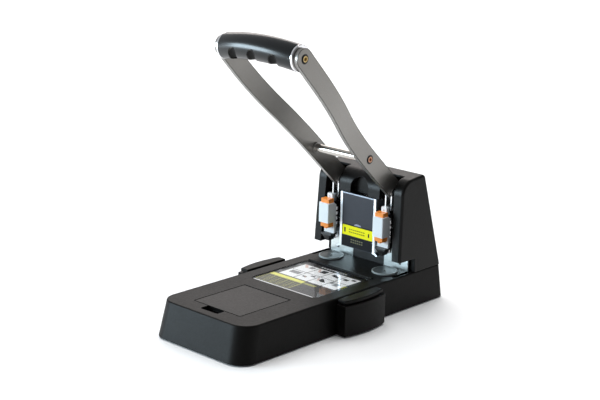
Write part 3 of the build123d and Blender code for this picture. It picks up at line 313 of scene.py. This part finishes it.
def disc_plastic():
    """Grey moulded disc with a painted highlight round its rim and faint turned rings."""
    finish = Finish("disc_grey_plastic")
    cloud = finish.noise(60.0, 3.0)
    reach = finish.reach(("X", DISC_MIDDLE[0]), ("Y", DISC_MIDDLE[1]))
    body = finish.blend(cloud, (0.075, 0.090, 0.092), (0.120, 0.138, 0.140))
    # painted highlight: the rim is coloured paler than the rest of the disc
    finish.set(Base_Color=finish.blend(reach > DISC_RIM_HIGHLIGHT, body, (0.30, 0.34, 0.345)))
    finish.set(Roughness=0.46 + (cloud - 0.5) * 0.14, Specular_IOR_Level=0.35)
    finish.set(Normal=finish.bump((reach * RING_RATE).wave(), 0.012))
    return finish.material


GRIP_MIDDLE = middle_of("grip_rod")
GRIP_BOW = 7.0
GRIP_HALF_LENGTH = 50.8
# reach from the grip's bowed axis inside which the finger recesses are painted darker as shade
GRIP_RECESS_REACH = 12.3
BOW_DIRECTION = (-0.719, 0.695)  # along Y and Z


def grip_rubber():
    """Soft black grip with a satin shine that stops in the finger recesses, whose colour is also painted
    darker as shade.
    """
    finish = Finish("grip_soft_black")
    cloud = finish.noise(40.0, 3.0)
    fine = finish.noise(1700.0, 2.0)
    x = finish.along("X") / MM
    bow = GRIP_BOW - x * x * (GRIP_BOW / GRIP_HALF_LENGTH**2)
    y = finish.offset("Y", GRIP_MIDDLE[1]) - bow * BOW_DIRECTION[0]
    z = finish.offset("Z", GRIP_MIDDLE[2]) - bow * BOW_DIRECTION[1]
    # painted shade: the finger recesses are coloured darker than the grip, and made rougher
    recess_shade = (y * y + z * z) < GRIP_RECESS_REACH**2
    tone = finish.blend(cloud, (0.004, 0.0045, 0.005), (0.007, 0.008, 0.009))
    finish.set(Base_Color=finish.blend(recess_shade, tone, (0.0015, 0.0015, 0.0015)))
    finish.set(Roughness=0.25 + (cloud - 0.5) * 0.08 + recess_shade * 0.55, Specular_IOR_Level=0.42)
    finish.set(Normal=finish.bump(fine, 0.01))
    return finish.material


# ---- metals ----------------------------------------------------------------------------------
def plated(name, dark, light, roughness, along, depth=0.012):
    """Plated steel with rolling streaks along one direction and a few faint stains."""
    finish = Finish(name)
    streak = finish.noise(1.0, 4.0, 0.6, finish.stretched(along))
    cloud = finish.noise(30.0, 3.0)
    finish.set(Base_Color=finish.blend((streak * 0.6 + cloud * 0.4).clamp(), dark, light))
    finish.set(Metallic=1.0, Roughness=roughness + (streak - 0.5) * 0.16 + (cloud - 0.5) * 0.1)
    finish.set(Normal=finish.bump(streak, depth))
    return finish.material


BAR_MIDDLE = middle_of("crossbar")
ARM_EDGE = 1.3
CORNER_CONTRAST = 28.0
# colour of the painted shade along the arms' corners
CORNER_PAINTED_SHADE = (0.035, 0.033, 0.030)
SCREW_RING = 5.1
SCREW_FACE = 3.2
RING_BLACK = (0.006, 0.006, 0.006)


def from_screw(finish, middle):
    """Distance from the middle of the screws that stand on a line along X."""
    return finish.reach(("Y", middle[1]), ("Z", middle[2]))


def arm_steel():
    """Satin nickel with a fine grain, painted shade along the corners and a dark ring round each screw."""
    finish = Finish("arm_satin_nickel")
    grain = finish.noise(1300.0, 2.0, 0.6)
    cloud = finish.noise(20.0, 3.0)
    plain = finish.blend((grain * 0.7 + cloud * 0.3).clamp(), (0.22, 0.21, 0.195), (0.40, 0.385, 0.365))
    flat = finish.node("ShaderNodeNewGeometry", output="Normal")
    rounded = finish.rounded(ARM_EDGE)
    alike = finish.node("ShaderNodeVectorMath", {"operation": "DOT_PRODUCT"}, {0: rounded, 1: flat}, "Value")
    # painted shade: the corners, found from the rounded normal, are coloured dark
    corner = ((1.0 - alike) * CORNER_CONTRAST).clamp()
    ring = (from_screw(finish, GRIP_MIDDLE) < SCREW_RING) + (from_screw(finish, BAR_MIDDLE) < SCREW_RING)
    ring = ring.clamp()
    finish.set(Base_Color=finish.blend(ring, finish.blend(corner, plain, CORNER_PAINTED_SHADE), RING_BLACK))
    finish.set(Metallic=(1.0 - ring) * 0.75, Roughness=0.36 + (grain - 0.5) * 0.14)
    finish.set(Normal=finish.bump(grain, 0.02, rounded))
    return finish.material


def screw_metal():
    """Brass screws at the grip and coppery ones at the crossbar, in a black ring."""
    finish = Finish("screw_brass_and_copper")
    cloud = finish.noise(900.0, 2.0)
    at_bar = finish.along("Y") > 0.0
    brass = finish.blend(cloud, (0.36, 0.25, 0.09), (0.66, 0.50, 0.24))
    copper = finish.blend(cloud, (0.34, 0.16, 0.09), (0.62, 0.36, 0.24))
    ring = (from_screw(finish, GRIP_MIDDLE) > SCREW_FACE) * (from_screw(finish, BAR_MIDDLE) > SCREW_FACE)
    finish.set(Base_Color=finish.blend(ring, finish.blend(at_bar, brass, copper), RING_BLACK))
    finish.set(Metallic=1.0 - ring, Roughness=0.34 + cloud * 0.1)
    finish.set(Normal=finish.bump(cloud, 0.02))
    return finish.material


# ---- which piece has which finish ------------------------------------------------------------
# streaks of the metals: noise spots a metre along X, Y and Z
LONG_Z = (2600.0, 2600.0, 70.0)
LONG_X = (70.0, 2600.0, 2600.0)
ROUND = (1500.0, 1500.0, 1500.0)

FINISHES = {
    "housing": moulded("housing_moulded_black", (0.0034, 0.0032, 0.0030), (0.0062, 0.0058, 0.0054),
                       0.36, specular=0.14),
    "base": moulded("base_moulded_black", (0.0038, 0.0034, 0.0031), (0.0070, 0.0064, 0.0059),
                    0.42, specular=0.10),
    # the lid has painted shade along its outline
    "lid": moulded("lid_moulded_black", (0.0060, 0.0054, 0.0051), (0.0105, 0.0096, 0.0092),
                   0.42, specular=0.15, seam_shade=lid_seam_shade),
    "guide": moulded("guide_moulded_black", (0.0038, 0.0034, 0.0030), (0.0066, 0.0060, 0.0055),
                     0.42, specular=0.10),
    "foot": moulded("rest_rubber", (0.03, 0.03, 0.03), (0.05, 0.05, 0.05), 0.85, 1.5, 0.1),
    "disc": disc_plastic(),
    "zinc": plated("zinc_plate", (0.38, 0.42, 0.42), (0.72, 0.76, 0.75), 0.32, LONG_X),
    "edging": plated("panel_bright_edging", (0.66, 0.70, 0.75), (0.88, 0.91, 0.95), 0.34, LONG_Z),
    "rail": plated("rail_blue_grey_steel", (0.20, 0.23, 0.28), (0.34, 0.38, 0.44), 0.36, LONG_X),
    "collar": plated("collar_grey_steel", (0.26, 0.25, 0.24), (0.42, 0.41, 0.40), 0.34, ROUND),
    "bar": plated("crossbar_drawn_steel", (0.36, 0.34, 0.31), (0.62, 0.59, 0.55), 0.16, LONG_X, 0.008),
    "black_steel": plated("blackened_steel", (0.03, 0.03, 0.032), (0.10, 0.10, 0.105), 0.38, ROUND),
    "painted": moulded("frame_black_paint", (0.006, 0.006, 0.0065), (0.014, 0.014, 0.015),
                       0.38, 2.0, 0.03, 0.3),
    "arm": arm_steel(),
    "bright": plated("ground_steel", (0.70, 0.70, 0.71), (0.88, 0.88, 0.89), 0.20, ROUND, 0.006),
    "ring": plated("grip_ring_steel", (0.82, 0.82, 0.84), (0.95, 0.95, 0.97), 0.16, ROUND, 0.004),
    "screw": screw_metal(),
    "copper": plated("bush_copper", (0.45, 0.26, 0.15), (0.70, 0.44, 0.28), 0.36, ROUND),
    "grip": grip_rubber(),
    "white": glossy("carrier_white", (0.82, 0.86, 0.88), (0.90, 0.93, 0.95), 0.32),
    "orange": glossy("cartridge_orange_plastic", (0.92, 0.25, 0.025), (1.0, 0.34, 0.05), 0.34),
    "presser": glossy("presser_black_plastic", (0.007, 0.007, 0.0075), (0.016, 0.016, 0.017), 0.42),
    "window": clear_plastic(),
    "paper": printed("card_grey_print", (0.040, 0.040, 0.040), 0.45, 0.2),
    "ink_white": printed("card_white_print", (0.80, 0.81, 0.82)),
    "ink_black": printed("card_black_print", (0.002, 0.002, 0.003), 0.45, 0.15),
    "ink_grey": printed("card_mid_grey_print", (0.17, 0.175, 0.18)),
    "ink_yellow": printed("card_yellow_print", (0.68, 0.66, 0.10)),
    "ink_straw": printed("card_straw_print", (0.33, 0.32, 0.10), 0.45, 0.2),
    "ink_rose": printed("card_rose_print", (0.62, 0.44, 0.38)),
    "slate": glossy("label_slate_print", (0.016, 0.018, 0.027), (0.026, 0.029, 0.040), 0.40, 0.28),
    "label_dark": printed("label_dark_print", (0.003, 0.0035, 0.006), 0.5, 0.12),
    "label_yellow": printed("label_yellow_print", (0.93, 0.84, 0.006), 0.5, 0.15),
    "label_black": printed("label_black_print", (0.006, 0.006, 0.005), 0.5, 0.15),
    "label_dim": printed("label_dim_print", (0.12, 0.115, 0.055), 0.3),
    "label_pale": printed("label_pale_print", (0.30, 0.32, 0.40), 0.3),
}

NODE_FINISH = {
    "base": ["base_shell"],
    "housing": ["tower_housing", "bottom_cover", "bar_runner"],
    "guide": both("side_guide"),
    "lid": ["storage_lid"],
    "foot": ["rubber_feet"],
    "disc": both("cutting_disc"),
    "zinc": ["bed_plate", "bottom_screws", *both("side_plate", "paper_stop", "guide_block")],
    "painted": ["back_plate", "throat_block"],
    "black_steel": ["stop_screws", "shaft_clips", "crank_pins", *both("wrist_pin", "punch_head")],
    "slate": ["label_panel"],
    "arm": both("arm"),
    "bright": ["lever_shaft", "shaft_spacers", "grip_rod", *both("link_plates", "punch_pin", "guide_bars")],
    "ring": ["grip_rings"],
    "screw": ["lever_screws"],
    "edging": ["panel_bracket"],
    "rail": ["panel_rail"],
    "collar": ["crossbar_collars"],
    "bar": ["crossbar"],
    "copper": ["hub_bushes"],
    "grip": ["hand_grip"],
    "white": both("foot_carrier", "sleeve"),
    "orange": both("cartridge"),
    "presser": both("presser_foot"),
    "paper": ["guide_card"],
}

# rounding of the sharp edges, in millimetres, and the pieces that have it
EDGE_ROUNDING = {
    1.0: both("arm"),
    0.8: both("side_guide"),
    0.6: ["tower_housing"],
    0.4: ["hand_grip"],
    0.35: ["base_shell"],
    0.3: both("sleeve", "cartridge", "punch_head"),
    0.25: ["storage_lid", "panel_bracket", "lever_screws", *both("guide_block")],
    0.2: both("paper_stop", "foot_carrier", "link_plates"),
}
SHARP_ANGLE = 40


def dress_node(node, finish):
    """Gives a carried-over piece its finish."""
    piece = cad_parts[node]
    piece.data.materials.clear()
    piece.data.materials.append(FINISHES[finish])


def round_edges(node, width):
    """Rounds the sharp edges of a carried-over piece."""
    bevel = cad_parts[node].modifiers.new("edge_rounding", "BEVEL")
    bevel.width = width * MM
    bevel.segments = 3
    bevel.limit_method = "ANGLE"
    bevel.angle_limit = radians(SHARP_ANGLE)
    bevel.harden_normals = False


# ---- meshes ----------------------------------------------------------------------------------
def skin(mesh, outlines):
    """Walls from each outline, given in millimetres, to the next, and a face over either end."""
    rings = [[mesh.verts.new(Vector(point) * MM) for point in outline] for outline in outlines]
    for first, second in zip(rings, rings[1:]):
        for i, corner in enumerate(first):
            j = (i + 1) % len(first)
            mesh.faces.new((corner, first[j], second[j], second[i]))
    mesh.faces.new(rings[0])
    mesh.faces.new(rings[-1])


def join_mesh(name, mesh, finish, body, smooth=False):
    """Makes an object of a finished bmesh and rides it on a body."""
    data = bpy.data.meshes.new(name)
    bmesh.ops.recalc_face_normals(mesh, faces=mesh.faces)
    mesh.to_mesh(data)
    mesh.free()
    data.polygons.foreach_set("use_smooth", [smooth] * len(data.polygons))
    data.materials.append(FINISHES[finish])
    piece = bpy.data.objects.new(name, data)
    bpy.context.scene.collection.objects.link(piece)
    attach(piece, body)
    return piece


# ---- printing on the guide card and the label ------------------------------------------------
CARD_TOP = 38.5
LABEL_FRONT = 86.5
INK = 0.06
FIRST_INK, SECOND_INK = 0.0, INK  # where the first print lies, and the one over it


def patch(x0, x1, y0, y1):
    """Outline of an upright rectangle."""
    return [(x0, y0), (x1, y0), (x1, y1), (x0, y1)]


def dashes(count, start, pitch, length, y0, y1):
    """A row of plain dashes."""
    return [patch(start + pitch * i, start + pitch * i + length, y0, y1) for i in range(count)]


def on_card(u, v, height):
    return (u, v, CARD_TOP + height)


def on_label(u, v, height):
    return (u, LABEL_FRONT - height, v)


def print_patches(prints, lay):
    """Thin printed patches; lay turns each outline point and a height into a place."""
    for name, finish, level, outlines in prints:
        mesh = bmesh.new()
        for outline in outlines:
            skin(mesh, [[lay(u, v, height) for u, v in outline] for height in (level, level + INK)])
        join_mesh(name, mesh, finish, "frame")


CARD_COLUMNS = ((-41.4, -19.8), (-18.6, 0.4), (1.6, 21.0), (22.2, 41.6))
CARD_ROWS = ((25.6, 46.6), (3.0, 24.4))
CARD_DARK_SHAPES = [
    patch(-10.8, -2.6, 35.8, 44.2), patch(6.6, 10.4, 36.6, 42.0),
    [(9.0, 36.0), (18.0, 34.4), (18.6, 37.4), (10.0, 41.0)],
    patch(24.6, 31.0, 34.6, 39.8), patch(33.0, 38.6, 39.4, 43.6),
    [(6.8, 21.4), (8.6, 22.2), (18.0, 13.6), (12.0, 12.4), (6.8, 15.6)],
    patch(-8.4, -2.4, 18.6, 21.8), patch(-15.4, -9.8, 12.2, 15.2),
]
CARD_GREY_SHAPES = [
    patch(-37.0, -22.6, 13.8, 21.8), patch(-29.6, -22.8, 38.2, 44.6), patch(28.0, 35.6, 12.4, 21.0),
    patch(-48.0, -43.4, 38.0, 44.6), patch(-48.0, -43.4, 6.0, 13.0), patch(22.4, 26.4, 16.0, 22.0),
]
CARD_ROSE_SHAPES = [
    [(-40.4, 46.0), (-36.0, 46.0), (-30.0, 38.8), (-33.0, 37.0)],
    [(-18.0, 45.4), (-15.6, 45.4), (-9.6, 36.4), (-12.4, 35.2)],
    [(2.4, 20.4), (4.4, 20.8), (8.2, 14.0), (6.2, 12.8)],
    [(-14.4, 15.6), (-12.4, 16.4), (-8.4, 12.2), (-10.4, 11.0)],
]
TABLE_LINE = 0.8
TABLE_ROWS = (-12.4, -16.4, -20.4, -24.4)
TABLE_COLUMNS = (-36.0, -26.4, -16.8, -7.2)


def print_card():
    """Header strip, eight picture fields with plain shapes, yellow bars and an empty table."""
    fields = [patch(x0, x1, y0, y1) for x0, x1 in CARD_COLUMNS for y0, y1 in CARD_ROWS]
    table = [patch(3.8, 20.0, -6.0, -1.6), patch(-47.0, -45.8, -28.8, -7.4), patch(1.8, 3.2, -28.8, -7.4),
             patch(-45.8, 1.8, -8.2, -7.4), patch(-45.8, 1.8, -28.8, -28.0)]
    table += [patch(-45.8, 1.8, y, y + TABLE_LINE) for y in TABLE_ROWS]
    table += [patch(x, x + TABLE_LINE, -28.0, -8.2) for x in TABLE_COLUMNS]
    print_patches((
        ("card_header", "ink_black", FIRST_INK, [patch(-37.0, 46.4, 47.6, 55.6)]),
        ("card_rules", "ink_black", FIRST_INK, [patch(42.6, 46.4, -4.0, 47.0)]),
        ("card_fields", "ink_white", FIRST_INK, fields),
        ("card_header_marks", "ink_white", SECOND_INK, dashes(10, -21.0, 3.9, 2.6, 50.6, 52.6)),
        ("card_figures_dark", "ink_black", SECOND_INK, CARD_DARK_SHAPES),
        ("card_figures_grey", "ink_grey", SECOND_INK, CARD_GREY_SHAPES),
        ("card_figures_rose", "ink_rose", SECOND_INK, CARD_ROSE_SHAPES),
        ("card_bar", "ink_yellow", FIRST_INK, [patch(-47.0, 1.8, -6.2, 0.6), patch(40.6, 46.0, 15.6, 20.6)]),
        ("card_table", "ink_straw", FIRST_INK, table),
        ("card_front_edge", "ink_white", FIRST_INK, [patch(-46.6, 41.4, -34.4, -30.8)]),
    ), on_card)


def print_label():
    """Slate field over a yellow strip and a dark foot, with plain bars and rows of dashes."""
    foot_dashes = dashes(6, -9.6, 3.1, 2.2, 63.2, 64.7) + dashes(6, -9.6, 3.1, 2.2, 66.0, 67.5)
    marks = [patch(-19.6, -17.6, 74.4, 79.6), patch(15.8, 17.6, 74.4, 79.0)]
    marks += dashes(8, -12.6, 3.0, 2.2, 75.0, 75.9) + dashes(8, -12.6, 3.0, 2.2, 78.0, 78.9)
    tab = [(-5.4, 84.2), (5.4, 84.2), (4.2, 85.6), (1.6, 86.3), (-1.6, 86.3), (-4.2, 85.6)]
    foot = [patch(-22.4, 22.4, 58.0, 70.6), patch(-22.4, 22.4, 82.9, 84.2)]
    print_patches((
        ("label_foot", "label_dark", FIRST_INK, foot),
        ("label_strip", "label_yellow", FIRST_INK, [patch(-22.4, 22.4, 71.2, 82.8)]),
        ("label_dashes", "label_dim", SECOND_INK, foot_dashes),
        ("label_marks", "label_black", SECOND_INK, marks),
        ("label_tab", "label_pale", FIRST_INK, [tab]),
    ), on_label)


# ---- clear window ----------------------------------------------------------------------------
WINDOW_BOX = (-47.85, 47.85, -35.35, 56.35)
WINDOW_CORNER = 5.85
WINDOW_LOW = 38.72
WINDOW_TOP = 39.7
# inset of the outline and its height, from the lower face to the softened upper edge
WINDOW_PROFILE = ((0.0, WINDOW_LOW), (0.0, WINDOW_TOP - 0.3), (0.12, WINDOW_TOP - 0.1), (0.4, WINDOW_TOP))
CORNER_STEPS = 8


def rounded_outline(x0, x1, y0, y1, radius):
    """Rectangle with round corners, anticlockwise from the right-hand end of its rear corner."""
    points = []
    for cx, cy, start in ((x1 - radius, y1 - radius, 0), (x0 + radius, y1 - radius, 90),
                          (x0 + radius, y0 + radius, 180), (x1 - radius, y0 + radius, 270)):
        for i in range(CORNER_STEPS + 1):
            turn = radians(start + 90.0 * i / CORNER_STEPS)
            points.append((cx + radius * cos(turn), cy + radius * sin(turn)))
    return points


def lay_window():
    """Clear sheet just over the card."""
    x0, x1, y0, y1 = WINDOW_BOX
    outlines = []
    for inset, level in WINDOW_PROFILE:
        outline = rounded_outline(x0 + inset, x1 - inset, y0 + inset, y1 - inset, WINDOW_CORNER - inset)
        outlines.append([(x, y, level) for x, y in outline])
    mesh = bmesh.new()
    skin(mesh, outlines)
    pane = join_mesh("window_sheet", mesh, "window", "frame")
    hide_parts("clear_window")


# ---- return springs --------------------------------------------------------------------------
SPRING_WIRE = 0.6  # radius
SPRING_TURNS = 4.0
SPRING_STEPS = 36
WIRE_SIDES = 10


def wind_spring(side):
    """Coil under a punch head, wound in the place of the carried-over return spring, which it hides."""
    low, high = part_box(f"return_spring_{side}")
    middle = (low + high) / 2
    radius = (high[0] - low[0]) / 2 / MM - SPRING_WIRE
    rise = (high[2] - low[2]) / MM - 2 * SPRING_WIRE
    start = Vector((middle[0], middle[1], low[2])) / MM + Vector((0.0, 0.0, SPRING_WIRE))
    up = Vector((0.0, 0.0, 1.0))
    steps = int(SPRING_TURNS * SPRING_STEPS)
    spokes = [2 * pi * k / WIRE_SIDES for k in range(WIRE_SIDES)]
    outlines = []
    for i in range(steps + 1):
        turn = 2 * pi * i / SPRING_STEPS
        outward = Vector((cos(turn), sin(turn), 0.0))
        spot = start + up * (rise * i / steps) + outward * radius
        outlines.append([spot + (outward * cos(a) + up * sin(a)) * SPRING_WIRE for a in spokes])
    mesh = bmesh.new()
    skin(mesh, outlines)
    coil = join_mesh(f"coil_spring_{side}", mesh, "black_steel", "frame", smooth=True)
    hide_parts(f"return_spring_{side}")
    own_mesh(coil)


# ---- studio, in metres -----------------------------------------------------------------------
FLOOR_HALF = 14.0
AIR_COLOUR = (0.95, 0.975, 1.0)
AIR_BELOW = 0.07
AIR_ABOVE = 0.33
AIR_LEAN = 0.24  # how much brighter the left is than the middle
GLOW_POWER = 2.6
GLOW_SPREAD = 60
GLOW_AIM = (0.25, -0.25, -1.0)
LIT_MIDDLE = (0.0, 0.0, 0.08)
SOFTBOXES = (
    ("front_left_softbox", (-1.7, -1.9, 0.35), (1.3, 0.9), 78, (0.72, 0.89, 1.0)),
    ("rear_left_softbox", (-1.6, 1.8, 1.35), (2.0, 0.7), 15, (1.0, 0.92, 0.88)),
)


def lay_floor():
    """Pale floor that is mirrored in the glossy faces and throws no other light back."""
    finish = Finish("studio_floor")
    cloud = finish.noise(2.0, 2.0)
    finish.set(Base_Color=finish.blend(cloud, (0.93, 0.93, 0.93), (0.95, 0.95, 0.95)))
    finish.set(Roughness=0.95, Specular_IOR_Level=0.1)
    data = bpy.data.meshes.new("studio_floor")
    corners = [(x, y, 0.0) for x, y in patch(-FLOOR_HALF, FLOOR_HALF, -FLOOR_HALF, FLOOR_HALF)]
    data.from_pydata(corners, [], [(0, 1, 2, 3)])
    data.materials.append(finish.material)
    floor = bpy.data.objects.new("studio_floor", data)
    bpy.context.scene.collection.objects.link(floor)
    floor.visible_diffuse = False


def fill_air():
    """Dim air below the horizon and a paler sky that is brightest on the left."""
    air = Finish("studio_air", "worlds", "BACKGROUND")
    outward = air.node("ShaderNodeTexCoord", output="Generated")
    above = air.along("Z", outward) > 0.0
    sky = AIR_ABOVE - air.along("X", outward) * AIR_LEAN
    air.set(Color=AIR_COLOUR, Strength=AIR_BELOW + sky * above)
    bpy.context.scene.world = air.material
    bpy.context.scene.view_settings.view_transform = "Standard"


def hang_glow():
    """Wide glow from overhead that gives light and no reflection."""
    data = bpy.data.lights.new("ceiling_glow", "SUN")
    data.energy = GLOW_POWER
    data.angle = radians(GLOW_SPREAD)
    glow = bpy.data.objects.new("ceiling_glow", data)
    glow.visible_glossy = False
    glow.rotation_euler = Vector(GLOW_AIM).to_track_quat("-Z", "Y").to_euler()
    bpy.context.scene.collection.objects.link(glow)


def hang_softbox(name, place, size, power, colour):
    """Rectangular light that faces the punch."""
    data = bpy.data.lights.new(name, "AREA")
    data.shape = "RECTANGLE"
    data.size, data.size_y = size
    data.energy = power
    data.color = colour
    lamp = bpy.data.objects.new(name, data)
    lamp.location = place
    lamp.visible_camera = False
    lamp.rotation_euler = (Vector(LIT_MIDDLE) - Vector(place)).to_track_quat("-Z", "Y").to_euler()
    bpy.context.scene.collection.objects.link(lamp)


place_camera()
for finish_name, nodes in NODE_FINISH.items():
    for member in nodes:
        dress_node(member, finish_name)
for rounding, nodes in EDGE_ROUNDING.items():
    for member in nodes:
        round_edges(member, rounding)
print_card()
lay_window()
print_label()
for side_name in SIDES:
    wind_spring(side_name)
lay_floor()
fill_air()
hang_glow()
for softbox in SOFTBOXES:
    hang_softbox(*softbox)
